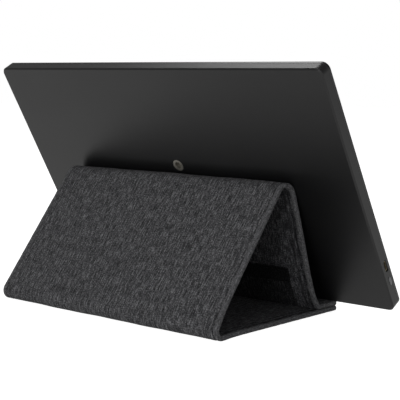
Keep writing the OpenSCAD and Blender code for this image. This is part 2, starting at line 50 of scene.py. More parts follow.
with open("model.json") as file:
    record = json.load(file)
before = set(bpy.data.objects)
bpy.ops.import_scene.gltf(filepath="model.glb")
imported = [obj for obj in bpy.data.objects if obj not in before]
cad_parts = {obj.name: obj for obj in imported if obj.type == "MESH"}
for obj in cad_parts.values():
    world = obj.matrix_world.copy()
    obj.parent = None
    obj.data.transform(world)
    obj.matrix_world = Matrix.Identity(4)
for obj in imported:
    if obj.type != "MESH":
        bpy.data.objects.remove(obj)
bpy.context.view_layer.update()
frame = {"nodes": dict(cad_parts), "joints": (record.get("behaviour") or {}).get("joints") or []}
NODES = frame["nodes"]
JOINTS = {joint["name"]: joint for joint in frame["joints"]}
FOOT = JOINTS["cover_foot_fold"]["pos_m"]
RIDGE = JOINTS["cover_ridge_fold"]["pos_m"]
HEEL = JOINTS["cover_heel_fold"]["pos_m"]
SLAB_UP = JOINTS["monitor_lift"]["axis"]        # direction up the monitor's back
MM = 0.001
FOLD_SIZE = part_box("foot_fold")[1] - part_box("foot_fold")[0]     # x: the cover's width, z: its thickness

# Headings of the front and the rear panel at rest, and the mean heading at each of the two bends
FRONT_WAY = -math.radians(JOINTS["cover_foot_fold"]["range_deg"][0])
REAR_WAY = FRONT_WAY - math.radians(JOINTS["cover_ridge_fold"]["range_deg"][1])
RIDGE_WAY, HEEL_WAY = (FRONT_WAY + REAR_WAY) / 2, (REAR_WAY - math.pi) / 2
RIDGE_R, HEEL_R = 11 * MM, 5.6 * MM             # bend radii at the middle of the panel


def linear(code):
    """Linear colour of an sRGB hex code, by the standard curve: a straight foot and a 2.4 power above it."""
    parts = [int(code[i:i + 2], 16) / 255 for i in (1, 3, 5)]
    return tuple(p / 12.92 if p <= 0.04045 else ((p + 0.055) / 1.055) ** 2.4 for p in parts)


# ---------- settings ----------

def length(name, value, about):
    """A length property in metres."""
    return FloatProperty(name=name, description=about, default=value, unit="LENGTH", precision=5)


def colour(name, code, about):
    """A colour property from an sRGB hex code."""
    return FloatVectorProperty(name=name, description=about, default=linear(code), size=3, min=0, max=1,
                               subtype="COLOR")


def angle(name, degrees, about):
    """An angle property from degrees."""
    return FloatProperty(name=name, description=about, default=math.radians(degrees), subtype="ANGLE")


def power(name, watts, about):
    """A lamp's power property."""
    return FloatProperty(name=name, description=about, default=watts, unit="POWER")


class CoverSizes(PropertyGroup):
    """Sizes of the fabric cover."""
    width: length("Width", FOLD_SIZE.x, "Width of the cover over its piped edges")
    thickness: length("Thickness", FOLD_SIZE.z, "Thickness of a panel")
    cloth: length("Cloth", 1.0 * MM, "Thickness of the outer cloth")
    pocket: length("Pocket cloth", 1.3 * MM, "Thickness of the inner pocket cloth")
    lining: length("Lining", 0.6 * MM, "Thickness of the flap's dark lining")
    mouth: length("Mouth", 38 * MM, "Height of the pocket's mouth along the front panel")
    tape: length("Tape", 13 * MM, "Width of the closing tape")
    hem: length("Hem", 7 * MM, "Width of the hem along the pocket's mouth")
    margin: length("Margin", 7 * MM, "Distance of the boards from the edges")
    facing: length("Facing", 21 * MM, "Width of the cloth facing beside the closing tape and the dark lining")
    bow: length("Bow", 6.3 * MM, "How far the soft flap of the front panel bows into the tunnel")
    ridge_rise: length("Ridge rise", 0.45 * MM, "Height of the ridge's middle above its ends")
    edge_round: length("Edge rounding", 1.2 * MM, "Radius that the foot fold gains at the piped edges")
    edge_run: length("Edge run", 12 * MM, "Width over which the foot fold draws in towards the piped edges")
    wave: length("Waviness", 0.16 * MM, "Height of the cloth's soft waves")
    stitch: length("Stitch", 3.2 * MM, "Length of one stitch with its gap")
    stitch_in: length("Seam inset", 10.4 * MM, "Distance of the seam from the cover's edge")


class CoverColours(PropertyGroup):
    """Colours of the fabric cover."""
    cloth_dark: colour("Dark yarn", "#242426", "Dark yarns of the melange cloth")
    cloth_mid: colour("Middle yarn", "#515153", "Average of the melange cloth")
    cloth_light: colour("Light yarn", "#909093", "Light yarns of the melange cloth")
    piping: colour("Piping", "#636365", "Cloth that is turned round the edges")
    pocket: colour("Pocket cloth", "#444447", "Average of the pocket cloth")
    tape: colour("Tape", "#0d0d0e", "Closing tape")
    tape_light: colour("Tape's light yarn", "#353538", "Light yarns of the closing tape")
    thread: colour("Thread", "#2a2a2c", "Sewing thread")


class MonitorColours(PropertyGroup):
    """Colours of the monitor."""
    cover: colour("Rear cover", "#0d0d0e", "Moulded rear cover")
    bezel: colour("Bezel", "#111112", "Front bezel")
    glass: colour("Screen", "#08090a", "Screen when it is off")
    port: colour("Port", "#c9bda0", "Plated shell of the port")
    key: colour("Key", "#77777a", "Power key")
    insert: colour("Insert", "#9b988f", "Tripod insert")


class StageSettings(PropertyGroup):
    """Camera, lamps and floor."""
    camera_place: FloatVectorProperty(name="Camera", description="Place of the camera", subtype="TRANSLATION",
                                      unit="LENGTH", default=(-0.646796, 0.709077, 0.195459))
    azimuth: angle("Azimuth", 220.853, "Direction of the camera round the object")
    elevation: angle("Elevation", 6.164, "Height of the camera above the horizon")
    roll: angle("Roll", -0.504, "Turn of the picture about its middle")
    lens: FloatProperty(name="Lens", description="Focal length in mm for a 36 mm sensor", default=100.84)
    key_power: power("Key", 0.9, "Power of the key lamp")
    back_power: power("Back", 5.6, "Power of the low lamp behind")
    top_power: power("Top", 6.5, "Power of the top lamp")
    fill_power: power("Fill", 1.6, "Power of the fill lamp")
    ambient: FloatProperty(name="Ambient", description="Strength of the even light", default=0.24)
    floor: colour("Floor", "#e6e6e4", "Pale floor")


# ---------- mesh helpers ----------

def signed_volume(points, quads):
    """Volume inside a closed quad mesh: the sum over its triangles of the triple product over six."""
    corners = points[quads]
    total = 0.0
    for a, b, c in ((0, 1, 2), (0, 2, 3)):
        total += np.einsum("ij,ij->i", corners[:, a], np.cross(corners[:, b], corners[:, c])).sum()
    return total / 6


def make_piece(name, points, quads, uv, material, sharp=40):
    """Puts points, quads and one UV pair per point into a new mesh object, with its faces outwards."""
    if signed_volume(points, quads) < 0:
        quads = quads[:, ::-1]
    mesh = bpy.data.meshes.new(name)
    mesh.vertices.add(len(points))
    mesh.vertices.foreach_set("co", np.asarray(points, np.float32).ravel())
    mesh.loops.add(quads.size)
    mesh.loops.foreach_set("vertex_index", quads.astype(np.int32).ravel())
    mesh.polygons.add(len(quads))
    mesh.polygons.foreach_set("loop_start", np.arange(0, quads.size, 4, dtype=np.int32))
    mesh.update(calc_edges=True)
    layer = mesh.uv_layers.new(name="cloth")
    layer.data.foreach_set("uv", uv[quads.ravel()].astype(np.float32).ravel())
    mesh.shade_smooth()
    mesh.set_sharp_from_angle(angle=math.radians(sharp))
    mesh.validate()
    mesh.materials.append(material)
    piece = bpy.data.objects.new(name, mesh)
    bpy.context.scene.collection.objects.link(piece)
    return piece


def grid_quads(rows, columns, first=0, wrap=False):
    """Quads of a grid of points, row after row. With wrap, the last column joins the first."""
    index = first + np.arange(rows * columns).reshape(rows, columns)
    if wrap:
        index = np.concatenate([index, index[:, :1]], axis=1)
    return np.stack([index[:-1, :-1], index[:-1, 1:], index[1:, 1:], index[1:, :-1]], axis=-1).reshape(-1, 4)


def band_quads(line_a, line_b):
    """Quads between two lines of point numbers of equal length."""
    return np.stack([line_a[:-1], line_a[1:], line_b[1:], line_b[:-1]], axis=-1)


def thick_sheet(top, low, uv):
    """Closed sheet between two grids of points of one shape: both faces, and a band round the rim."""
    rows, columns = top.shape[:2]
    upper = np.arange(rows * columns).reshape(rows, columns)
    lower = upper + rows * columns
    faces = [grid_quads(rows, columns), grid_quads(rows, columns, rows * columns)[:, ::-1]]
    for line in (np.s_[0, :], np.s_[:, -1]):
        faces.append(band_quads(lower[line], upper[line]))
    for line in (np.s_[-1, :], np.s_[:, 0]):
        faces.append(band_quads(upper[line], lower[line]))
    points = np.concatenate([top.reshape(-1, 3), low.reshape(-1, 3)])
    pairs = uv.reshape(-1, 2)
    return points, np.concatenate(faces), np.concatenate([pairs, pairs])


def join_parts(parts):
    """Joins (points, quads, uv) parts into one, with the point numbers moved on."""
    moved, count = [], 0
    for points, quads, _ in parts:
        moved.append(quads + count)
        count += len(points)
    return np.concatenate([p[0] for p in parts]), np.concatenate(moved), np.concatenate([p[2] for p in parts])


def tube(centre, normal, radius, around=24, square=3.0):
    """Tube along a line of points: at each one a ring square to the line, from the given normal towards the
    side. The ring is a superellipse, |up|^n + |side|^n = radius^n with n = square, which is rounder than a
    square and fuller than a circle. Each end draws in to a small cap. UV is (round, along) in metres."""
    along = np.gradient(centre, axis=0)
    along /= np.linalg.norm(along, axis=1, keepdims=True)
    side = np.cross(along, normal)
    side /= np.linalg.norm(side, axis=1, keepdims=True)
    up = np.cross(side, along)
    angle = np.linspace(0, 2 * np.pi, around, endpoint=False)
    radius = np.broadcast_to(radius, len(centre))[:, None, None]
    full = (np.abs(np.cos(angle)) ** square + np.abs(np.sin(angle)) ** square) ** (-1 / square)
    rise, out = (full * np.cos(angle))[None, :, None], (full * np.sin(angle))[None, :, None]
    ring = rise * up[:, None] + out * side[:, None]
    rings = centre[:, None] + radius * ring
    # each end: a ring of half the size and one of 0.01 mm close it
    half_size = [centre[i] + 0.5 * (rings[i] - centre[i]) for i in (0, -1)]
    tips = [centre[i] + 0.01 * MM * ring[i] for i in (0, -1)]
    rings = np.concatenate([[tips[0], half_size[0]], rings, [half_size[1], tips[1]]])
    run = np.pad(line_run(centre), 2, mode="edge")
    uv = np.stack(np.broadcast_arrays((angle * radius[0, 0, 0])[None], run[:, None]), axis=-1)
    points = rings.reshape(-1, 3)
    quads = grid_quads(len(rings), around, wrap=True)
    caps = [np.arange(around), len(points) - around + np.arange(around)]
    half = around // 2
    fan = [band_quads(cap[:half], cap[::-1][:half]) for cap in (caps[0], caps[1][::-1])]
    return points, np.concatenate([quads, *fan]), uv.reshape(-1, 2)


# ---------- the cover's cross-section ----------

LIP, FOOT_ARC, FRONT, RIDGE_ARC, REAR, HEEL_ARC, BASE = range(7)
STEPS = {LIP: 14, FOOT_ARC: 12, FRONT: 52, RIDGE_ARC: 30, REAR: 60, HEEL_ARC: 24, BASE: 76}
LIP_END, BASE_END = (LIP, 0.0), (BASE, 1.0)     # the cover's free ends


def all_stations():
    """Stations along the cover from the lip's free end to the base's: rows of (segment, share of it)."""
    rows = []
    for segment, steps in STEPS.items():
        share = np.linspace(0, 1, steps + 1)
        if segment != LIP:
            share = share[1:]
        rows.append(np.stack([np.full(len(share), segment), share], axis=1))
    return np.concatenate(rows)


def between(first, last):
    """The stations from (segment, share) first to last, both included as stations of their own."""
    place = first[0] + first[1], last[0] + last[1]
    rows = all_stations()
    where = rows[:, 0] + rows[:, 1]
    inside = rows[(where > place[0] + 1e-6) & (where < place[1] - 1e-6)]
    return np.concatenate([[first], inside, [last]])


def edge_share(x, cover):
    """0 in the middle of the cover, rising round a quarter circle to 1 at its edges, over edge_run."""
    share = np.clip((np.abs(x) - (cover.width / 2 - cover.edge_run)) / cover.edge_run, 0, 1)
    return 1 - np.sqrt(np.clip(1 - share ** 2, 0, 1))


def bend_corner(axis, way, radius, turn):
    """Where the middle lines of the panels beside a bend would meet, from the joint on its outer cloth."""
    out = radius / math.cos(turn / 2) - radius - FOLD_SIZE.z / 2
    return axis[1] - math.sin(way) * out, axis[2] + math.cos(way) * out


RIDGE_CORNER = bend_corner(RIDGE, RIDGE_WAY, RIDGE_R, FRONT_WAY - REAR_WAY)
HEEL_CORNER = bend_corner(HEEL, HEEL_WAY, HEEL_R, math.pi + REAR_WAY)
# Straight lengths of the two panels, up to their bends
RIDGE_TRIM = RIDGE_R * math.tan((FRONT_WAY - REAR_WAY) / 2)
FRONT_RUN = math.dist(FOOT[1:], RIDGE_CORNER) - RIDGE_TRIM
REAR_RUN = math.dist(RIDGE_CORNER, HEEL_CORNER) - RIDGE_TRIM - HEEL_R * math.tan((math.pi + REAR_WAY) / 2)
FLAP_RUN = 14 * MM                              # way over which the flap's bow sets in above the foot
INNER_R = 0.55 * MM                             # least radius of a wall on the inside of a bend
# The bulge of the cloth at one end of the heel: its middle, its share of the width and its reach
HEEL_MIDDLE = np.array(HEEL[1:]) - np.array([3, 2]) * MM
HEEL_BULGE, HEEL_REACH = 0.02, 16 * MM
# The cloth beside the piping: width of the piped edge, depth and width of a stitched furrow, and where the
# groove beside the piping starts, how wide it is and how deep
PIPED, FURROW, FURROW_W = 5.6 * MM, 0.6 * MM, 0.6 * MM
GROOVE_AT, GROOVE_W, GROOVE = 6.0 * MM, 1.4 * MM, 1.3 * MM


def fold_corners(x, cover):
    """Ends and corners of the panels' middle line at each x, as (y, z). The ridge rises along the monitor's
    back by a parabola across the width."""
    half = cover.width / 2
    rise = cover.ridge_rise * (1 - (x / half) ** 2)
    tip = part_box("base_binding")[0].y + cover.thickness / 2
    one = np.ones_like(x)
    rows = [
        (tip * one, FOOT[2] * one),
        (FOOT[1] * one, FOOT[2] * one),
        (RIDGE_CORNER[0] + SLAB_UP[1] * rise, RIDGE_CORNER[1] + SLAB_UP[2] * rise),
        (HEEL_CORNER[0] * one, HEEL_CORNER[1] * one),
        (tip * one, HEEL_CORNER[1] * one),
    ]
    return np.stack([np.stack(row, axis=-1) for row in rows])


def fold_path(x, offset, stations, cover):
    """Points and outward normals of the cover's cross-section at each x, at an offset from the panels'
    middle. Each panel is a straight line moved by the offset along its normal. Two are joined by an arc that
    touches both: its radius is the fold's own radius, plus the offset on the convex side and minus it on the
    concave side. The front panel then sinks by bow (1 - t)^1.5 (1 - exp(-a / FLAP_RUN)), with t its share and
    a the way up from its foot."""
    x = np.asarray(x, float)
    offset = np.broadcast_to(offset, x.shape)
    corner = fold_corners(x, cover)
    step = np.diff(corner, axis=0)
    heading = np.unwrap(np.arctan2(step[..., 1], step[..., 0]), axis=0)
    heading[3] = -np.pi
    turn = np.diff(heading, axis=0)
    side = np.sign(turn)
    ahead = np.stack([np.cos(heading), np.sin(heading)], axis=-1)
    normal = np.stack([-np.sin(heading), np.cos(heading)], axis=-1)
    own = [cover.edge_round * edge_share(x, cover), np.full_like(x, RIDGE_R), np.full_like(x, HEEL_R)]
    radius = np.maximum(np.stack(own) - side * offset, INNER_R)
    reach = (radius * np.tan(np.abs(turn) / 2))[..., None]
    both = 1 + np.sum(normal[:-1] * normal[1:], axis=-1, keepdims=True)
    meet = corner[1:4] + offset[:, None] * (normal[:-1] + normal[1:]) / both
    start = np.concatenate([[corner[0] + offset[:, None] * normal[0]], meet + ahead[1:] * reach])
    stop = np.concatenate([meet - ahead[:-1] * reach, [corner[4] + offset[:, None] * normal[3]]])
    centre = stop[:3] + (side * radius)[..., None] * normal[:3]
    points, normals = [], []
    for segment in range(7):
        share = stations[stations[:, 0] == segment, 1][:, None, None]
        if not len(share):
            continue
        panel = segment // 2
        if segment % 2 == 0:
            line = start[panel] * (1 - share) + stop[panel] * share
            way = np.broadcast_to(normal[panel], line.shape)
            if segment == FRONT:
                up = share * np.linalg.norm(stop[panel] - start[panel], axis=-1)[None, :, None]
                line = line - cover.bow * (1 - share) ** 1.5 * (1 - np.exp(-up / FLAP_RUN)) * way
        else:
            angle = heading[panel] + turn[panel] * share[..., 0]
            way = np.stack([-np.sin(angle), np.cos(angle)], axis=-1)
            line = centre[panel] - (side[panel] * radius[panel])[:, None] * way
        points.append(line)
        normals.append(way)
    return np.concatenate(points), np.concatenate(normals)


def waves(x, run, cover):
    """Soft waves of cloth: a sum of five sine waves across and along the panel with lengths of 30 to 110 mm,
    so that light breaks a little on it. It fades out over 20 mm at the edges."""
    chance = np.random.default_rng(7)
    total = np.zeros(np.broadcast(x, run).shape)
    for _ in range(5):
        long = chance.uniform(30, 110) * MM
        angle = chance.uniform(0, np.pi)
        phase = chance.uniform(0, 2 * np.pi)
        total = total + np.sin(2 * np.pi / long * (x * np.cos(angle) + run * np.sin(angle)) + phase)
    fade = np.clip((cover.width / 2 - np.abs(x)) / (20 * MM), 0, 1)
    return cover.wave * total / 2 * fade


def arc_length(offset, stations, cover):
    """Way along the middle of the cover at each of the given stations, from the lip's free end."""
    whole = all_stations()
    line, _ = fold_path(np.zeros(1), offset, whole, cover)
    return np.interp(stations[:, 0] + stations[:, 1], whole[:, 0] + whole[:, 1], line_run(line[:, 0]))


def spread(flat):
    """How much the cloth bulges sideways at the end of the heel where the edge's cloth is joined: one plus
    HEEL_BULGE exp(-(r / HEEL_REACH)^2), with r the way to the heel."""
    return 1 + HEEL_BULGE * np.exp(-np.sum((flat - HEEL_MIDDLE) ** 2, axis=-1) / HEEL_REACH ** 2)


def in_frame(x, flat):
    """Points (x, y, z) of the object's frame from x across the cover and (y, z) pairs."""
    across = FOOT[0] + x * np.where(x < 0, spread(flat), 1)
    return np.concatenate([across[..., None], flat], axis=-1)


def across(cover, inset):
    """Places across the cover for a sheet: about 3 mm apart in the middle and closer in the outer 9 mm."""
    half = cover.width / 2 - inset
    edge = half - np.linspace(0, 9 * MM, 25)
    middle = np.linspace(-edge[-1], edge[-1], 81)
    return np.unique(np.round(np.concatenate([-edge, middle, edge]), 7))


def inner_seams(cover):
    """Distances from the middle of the two stitched furrows that run along each side of the inner cloths."""
    return cover.width / 2 - cover.stitch_in, cover.width / 2 - PIPED


def seam_dip(x, cover):
    """Depth of the cloth's face below its flat level: a narrow furrow along each seam, which leaves a welt
    outside it, and a quarter circle at the edge, where the cloth goes down beside the piping."""
    half = cover.width / 2
    furrow = np.exp(-((np.abs(x) - (half - cover.stitch_in)) / FURROW_W) ** 2)
    fall = np.clip((np.abs(x) - (half - GROOVE_AT)) / GROOVE_W, 0, 1)
    return FURROW * furrow + GROOVE * (1 - np.sqrt(1 - fall ** 2 * 0.999))


def cloth_part(cover, stations, outer, inner, inset=3.5 * MM, soft=True, extra=0.0):
    """Thick sheet of the folded cover between two offsets, outer being its seen face. Both faces follow
    fold_path. A soft sheet's seen face has seam furrows and waves. extra adds a thickness at each station."""
    x = across(cover, inset)
    way = 1.0 if outer > inner else -1.0
    run = arc_length(outer, stations, cover)[:, None]
    dip = seam_dip(x, cover) * soft
    flat, normal = fold_path(x, outer, stations, cover)
    face = waves(x[None], run, cover) * soft - way * dip + way * np.reshape(extra, (-1, 1))
    faces_floor = (normal[..., 1] < -0.99) & (way > 0)      # nothing of the base's outer face goes below it
    face = np.where(faces_floor, np.minimum(face, 0), face)
    top = in_frame(x, flat + face[..., None] * normal)
    flat, normal = fold_path(x, inner, stations, cover)
    sink = way * np.clip(dip - FURROW, 0, GROOVE - FURROW)
    low = in_frame(x, flat - sink[None, :, None] * normal)
    uv = np.stack(np.broadcast_arrays(x[None], run), axis=-1)
    return thick_sheet(top, low, uv)


def bend(piece):
    """Bakes a piece's transform into its mesh."""
    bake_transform(piece)


FRONT_SPLIT = (FRONT, 0.5)      # the outer cloth's parts meet here, behind the monitor
REAR_SPLIT = (REAR, 0.95)       # and here, just above the heel
PARTS = {"foot": (LIP_END, FRONT_SPLIT), "ridge": (FRONT_SPLIT, REAR_SPLIT), "heel": (REAR_SPLIT, BASE_END)}


# ---------- materials ----------

def feed(node, inputs):
    """Sets a node's sockets to values, or links them to other sockets or to other nodes' first output."""
    for key, value in inputs.items():
        if isinstance(value, bpy.types.Node):
            value = value.outputs[0]
        if isinstance(value, bpy.types.NodeSocket):
            node.id_data.links.new(value, node.inputs[key])
        else:
            node.inputs[key].default_value = value


def add(tree, kind, inputs, stops=(), **settings):
    """Adds one shader node. settings are its properties, inputs are fed to it, and stops are the (place,
    colour) pairs of a colour ramp."""
    node = tree.nodes.new("ShaderNode" + kind)
    for key, value in settings.items():
        setattr(node, key, value)
    feed(node, inputs)
    for number, (place, shade) in enumerate((*stops[:1], *stops[-1:], *stops[1:-1])):
        marks = node.color_ramp.elements
        mark = marks[number] if number < 2 else marks.new(place)
        mark.position = place
        mark.color = (*shade, 1)
    return node


def new_material(name):
    """A material with a Principled shader linked to its output. Returns material, node tree and shader."""
    material = bpy.data.materials.new(name)
    material.use_nodes = True
    tree = material.node_tree
    return material, tree, tree.nodes["Principled BSDF"]


def plain(name, shade, roughness, metallic=0.0, grain=900, bump=0.04, spread=0.25, **sockets):
    """A finish whose colour varies by the share spread and whose roughness varies too, with a fine grain.
    grain is the number of grains in a metre."""
    material, tree, shader = new_material(name)
    place = add(tree, "TexCoord", {}).outputs["Object"]
    cloudy = add(tree, "TexNoise", {"Vector": place, "Scale": grain / 18, "Detail": 4.0})
    fine = add(tree, "TexNoise", {"Vector": place, "Scale": grain, "Detail": 2.0})
    dark = tuple(c * (1 - spread) for c in shade)
    light = tuple(min(1, c * (1 + spread)) for c in shade)
    feed(shader, {
        "Base Color": add(tree, "ValToRGB", {"Fac": cloudy}, [(0.3, dark), (0.7, light)]),
        "Roughness": add(tree, "MapRange", {"Value": fine, "To Min": roughness * 0.85,
                                            "To Max": min(1, roughness * 1.15)}),
        "Normal": add(tree, "Bump", {"Height": fine, "Strength": bump, "Distance": 0.2 * MM}),
        "Metallic": metallic,
    })
    feed(shader, {key.replace("_", " "): value for key, value in sockets.items()})
    return material


def woven(name, dark, mid, light, contrast=1.0, yarn=0.85, bump=0.5, streak=8.0, core=None, shaded_seams=()):
    """Melange cloth, a plain weave of mixed dark and light polyester yarns. What the eye sees: short lighter
    and darker streaks along the yarns, longer along the panel than across it, over a fine even weave. UVs are
    metres. Yarns lie 0.4 mm apart on the real cloth and are drawn 0.85 mm apart, so that they show. core is
    (half width, share) of a darker zone in the middle, and shaded_seams are the distances from the middle of
    the stitched furrows, along which a narrow line of painted shade darkens the cloth."""
    material, tree, shader = new_material(name)
    uv = add(tree, "UVMap", {}, uv_map="cloth")

    def streaks(across_mm, along_mm, detail, seed):
        stretch = add(tree, "Mapping", {"Vector": uv, "Location": (seed, seed * 1.7, seed),
                                        "Scale": (1 / (across_mm * MM), 1 / (along_mm * MM), 1)})
        return add(tree, "TexNoise", {"Vector": stretch, "Scale": 1.0, "Detail": detail, "Roughness": 0.6})

    slub = streaks(0.9, streak, 2.0, 3.1)               # long yarn runs along the panel
    pick = streaks(2.2, 0.9, 1.0, 11.7)                 # short runs across it
    speck = streaks(0.85, 1.1, 1.0, 23.9)               # single yarn floats
    tone = slub
    for runs in (pick, speck):
        tone = add(tree, "Mix", {"Factor": 0.3, "A": tone, "B": runs})
    reach = 0.13 / contrast
    shade = add(tree, "ValToRGB", {"Fac": tone}, [(0.5 - reach, dark), (0.5, mid), (0.5 + reach, light)])

    split = add(tree, "SeparateXYZ", {"Vector": uv}).outputs

    def yarns(axis, shift):
        turns = {0: split[axis], 1: 2 * math.pi / (yarn * MM), 2: shift}
        return add(tree, "Math", {0: add(tree, "Math", turns, operation="MULTIPLY_ADD")}, operation="SINE")

    weave = add(tree, "Math", {0: yarns("X", 0.0), 1: yarns("Y", 0.7)}, operation="MULTIPLY")
    level = add(tree, "MapRange", {"Value": weave, "From Min": -1.0, "To Min": 0.82, "To Max": 1.14})
    off = add(tree, "Math", {0: split["X"]}, operation="ABSOLUTE")
    zones = []
    # painted shade: a narrow dark line along each stitched furrow, darkening the colour to 0.35
    for seam in shaded_seams:
        gap = add(tree, "Math", {0: off, 1: seam}, operation="SUBTRACT")
        zones.append((add(tree, "Math", {0: gap}, operation="ABSOLUTE"), FURROW / 2, 2 * FURROW, 0.35))
    if core:
        zones.append((off, core[0], core[0] + 0.3 * MM, core[1]))
    for way, low, high, dim in zones:
        zone = add(tree, "MapRange", {"Value": way, "From Min": low, "From Max": high, "To Min": dim})
        level = add(tree, "Math", {0: level, 1: zone}, operation="MULTIPLY")
    relief = add(tree, "Math", {0: weave, 1: 0.5, 2: slub}, operation="MULTIPLY_ADD")
    feed(shader, {
        "Base Color": add(tree, "VectorMath", {0: shade, "Scale": level}, operation="SCALE"),
        "Normal": add(tree, "Bump", {"Height": relief, "Strength": bump, "Distance": 0.25 * MM}),
        "Roughness": 0.92,
        "Specular IOR Level": 0.1,
        "Sheen Weight": 0.03,
        "Sheen Roughness": 0.4,
    })
    return material


def hairline_abs(shade):
    """Moulded ABS whose tool was brushed: fine level lines run across the back, so its gloss is soft and
    drawn out up and down. The real lines are 0.1 to 0.2 mm apart and drawn near 1 mm, so that they show."""
    material, tree, shader = new_material("hairline_moulded_abs")
    place = add(tree, "TexCoord", {}).outputs["Object"]
    lean = math.atan2(SLAB_UP[1], SLAB_UP[2])
    upright = add(tree, "Mapping", {"Vector": place, "Rotation": (lean, 0, 0)})

    def lines(long_mm, apart_mm, detail):
        scale = (1 / (long_mm * MM), 1 / (20 * MM), 1 / (apart_mm * MM))
        stretch = add(tree, "Mapping", {"Vector": upright, "Scale": scale})
        return add(tree, "TexNoise", {"Vector": stretch, "Scale": 1.0, "Detail": detail})

    fine, broad = lines(60, 0.9, 3.0), lines(180, 5.0, 2.0)
    cloud = add(tree, "TexNoise", {"Vector": place, "Scale": 14.0, "Detail": 3.0})
    mixed = add(tree, "Mix", {"Factor": 0.35, "A": fine, "B": broad})
    dark, light = tuple(c * 0.86 for c in shade), tuple(c * 1.16 for c in shade)
    feed(shader, {
        "Base Color": add(tree, "ValToRGB", {"Fac": mixed}, [(0.3, dark), (0.7, light)]),
        "Roughness": add(tree, "MapRange", {"Value": cloud, "To Min": 0.36, "To Max": 0.46}),
        "Normal": add(tree, "Bump", {"Height": fine, "Strength": 0.12, "Distance": 0.1 * MM}),
        "IOR": 1.5,
    })
    return material


def anti_glare_glass(shade):
    """Coated screen glass, etched matt: near black when it is off, with a wide dull gloss."""
    material, tree, shader = new_material("anti_glare_screen_glass")
    place = add(tree, "TexCoord", {}).outputs["Object"]
    fine = add(tree, "TexNoise", {"Vector": place, "Scale": 2200.0, "Detail": 1.0})
    cloud = add(tree, "TexNoise", {"Vector": place, "Scale": 9.0})
    feed(shader, {
        "Base Color": (*shade, 1),
        "Roughness": add(tree, "MapRange", {"Value": cloud, "To Min": 0.26, "To Max": 0.32}),
        "Normal": add(tree, "Bump", {"Height": fine, "Strength": 0.05, "Distance": 0.05 * MM}),
        "IOR": 1.5,
    })
    return material


def give(material, *names):
    """Assigns a material to the slots of CAD nodes."""
    for name in names:
        node = NODES[name]
        if not node.material_slots:
            node.data.materials.append(material)
        for place in node.material_slots:
            place.material = material


# ---------- the cover's pieces ----------

def fold_cloth(name, cover, stations, faces, material, nodes, extra=0.0):
    """Makes a piece of cloth over the given stations between its two faces, bakes it, and hides the CAD nodes
    that it stands for. Its flat size would be the width inside the piping by the length of its seen face;
    that length is worked out but not used.
    """
    piece = make_piece(name, *cloth_part(cover, stations, *faces, extra=extra), material)
    bend(piece)
    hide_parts(*nodes)
    run = np.ptp(arc_length(faces[0], stations, cover))


def panel_sheet(name, cover, segment, share, rows, faces, inset, material, extra=0.0):
    """Makes a stiff or stretched layer on one panel, over the (low, high) share of its length."""
    stations = np.stack([np.full(rows, segment), np.linspace(*share, rows)], axis=1)
    points, quads, uv = cloth_part(cover, stations, *faces, inset=inset, soft=False, extra=extra)
    return make_piece(name, points, quads, uv, material)


class OuterCloth(Operator):
    """Makes the melange cloth on the outside of all four panels, in three parts that meet edge to edge"""
    bl_idname = "monitor_stand.outer_cloth"
    bl_label = "Outer Cloth"

    def execute(self, context):
        cover, tone = context.scene.cover_sizes, context.scene.cover_colours
        material = woven("melange_polyester_weave", tone.cloth_dark, tone.cloth_mid, tone.cloth_light)
        half = cover.thickness / 2
        stands_for = {
            "foot": ["lip_skin", "foot_fold", "front_skin"],
            "ridge": ["ridge_fold", "ridge_rear_fold", "rear_skin"],
            "heel": ["rear_fold", "heel_base_fold", "base_skin"],
        }
        for fold, ends in PARTS.items():
            fold_cloth(f"outer_cloth_{fold}", cover, between(*ends), (half, half - cover.cloth), material,
                       stands_for[fold])
        return {"FINISHED"}


class PocketCloth(Operator):
    """Makes the inner cloth of the pouch, from its hemmed mouth over ridge and heel to the base's end"""
    bl_idname = "monitor_stand.pocket_cloth"
    bl_label = "Pocket Cloth"

    def execute(self, context):
        cover, tone = context.scene.cover_sizes, context.scene.cover_colours
        # its stitched furrows get lines of painted shade
        material = woven("dark_melange_pocket_cloth", tone.cloth_dark, tone.pocket, tone.cloth_light,
                         shaded_seams=inner_seams(cover))
        faces = (-cover.thickness / 2, cover.pocket - cover.thickness / 2)
        mouth = cover.mouth / FRONT_RUN
        stations = between((FRONT, mouth), REAR_SPLIT)
        # the hem stands 0.35 mm proud and ends in a step of 0.8 mm, and the mouth rounds off over 0.7 mm
        up = (stations[:, 0] + stations[:, 1] - FRONT - mouth) * FRONT_RUN
        turned = np.clip(1 - (up - cover.hem) / (0.8 * MM), 0, 1)
        rounding = np.sqrt(np.clip(up / (0.7 * MM), 0, 1))
        hem = 0.35 * MM * turned * rounding - 0.3 * MM * (1 - rounding)
        fold_cloth("pocket_cloth_ridge", cover, stations, faces, material,
                   ["front_pocket_wall", "rear_pocket_wall"], extra=hem)
        fold_cloth("pocket_cloth_heel", cover, between(REAR_SPLIT, BASE_END), faces, material,
                   ["base_pocket_wall"])
        return {"FINISHED"}


class FlapLining(Operator):
    """Makes the dark lining of the flap, from behind the pocket's mouth round the foot to the lip's end"""
    bl_idname = "monitor_stand.flap_lining"
    bl_label = "Flap Lining"

    def execute(self, context):
        cover, tone = context.scene.cover_sizes, context.scene.cover_colours
        # its stitched furrows get lines of painted shade
        material = woven("faced_flap_lining", tone.cloth_dark, tone.pocket, tone.cloth_light,
                         core=(cover.width / 2 - cover.facing, 0.35), shaded_seams=inner_seams(cover))
        # it is tucked 2 mm behind the mouth, and thins over the first 5 mm above the foot
        stations = between(LIP_END, (FRONT, (cover.mouth + 2 * MM) / FRONT_RUN))
        above = np.clip((stations[:, 0] + stations[:, 1] - FRONT) * FRONT_RUN / (5 * MM), 0, 1)
        ease = above * above * (3 - 2 * above)
        fold_cloth("flap_lining", cover, stations, (-cover.thickness / 2, cover.pocket - cover.thickness / 2),
                   material, ["lip_lining", "front_lining"],
                   extra=-(cover.pocket - cover.lining) * ease)
        return {"FINISHED"}


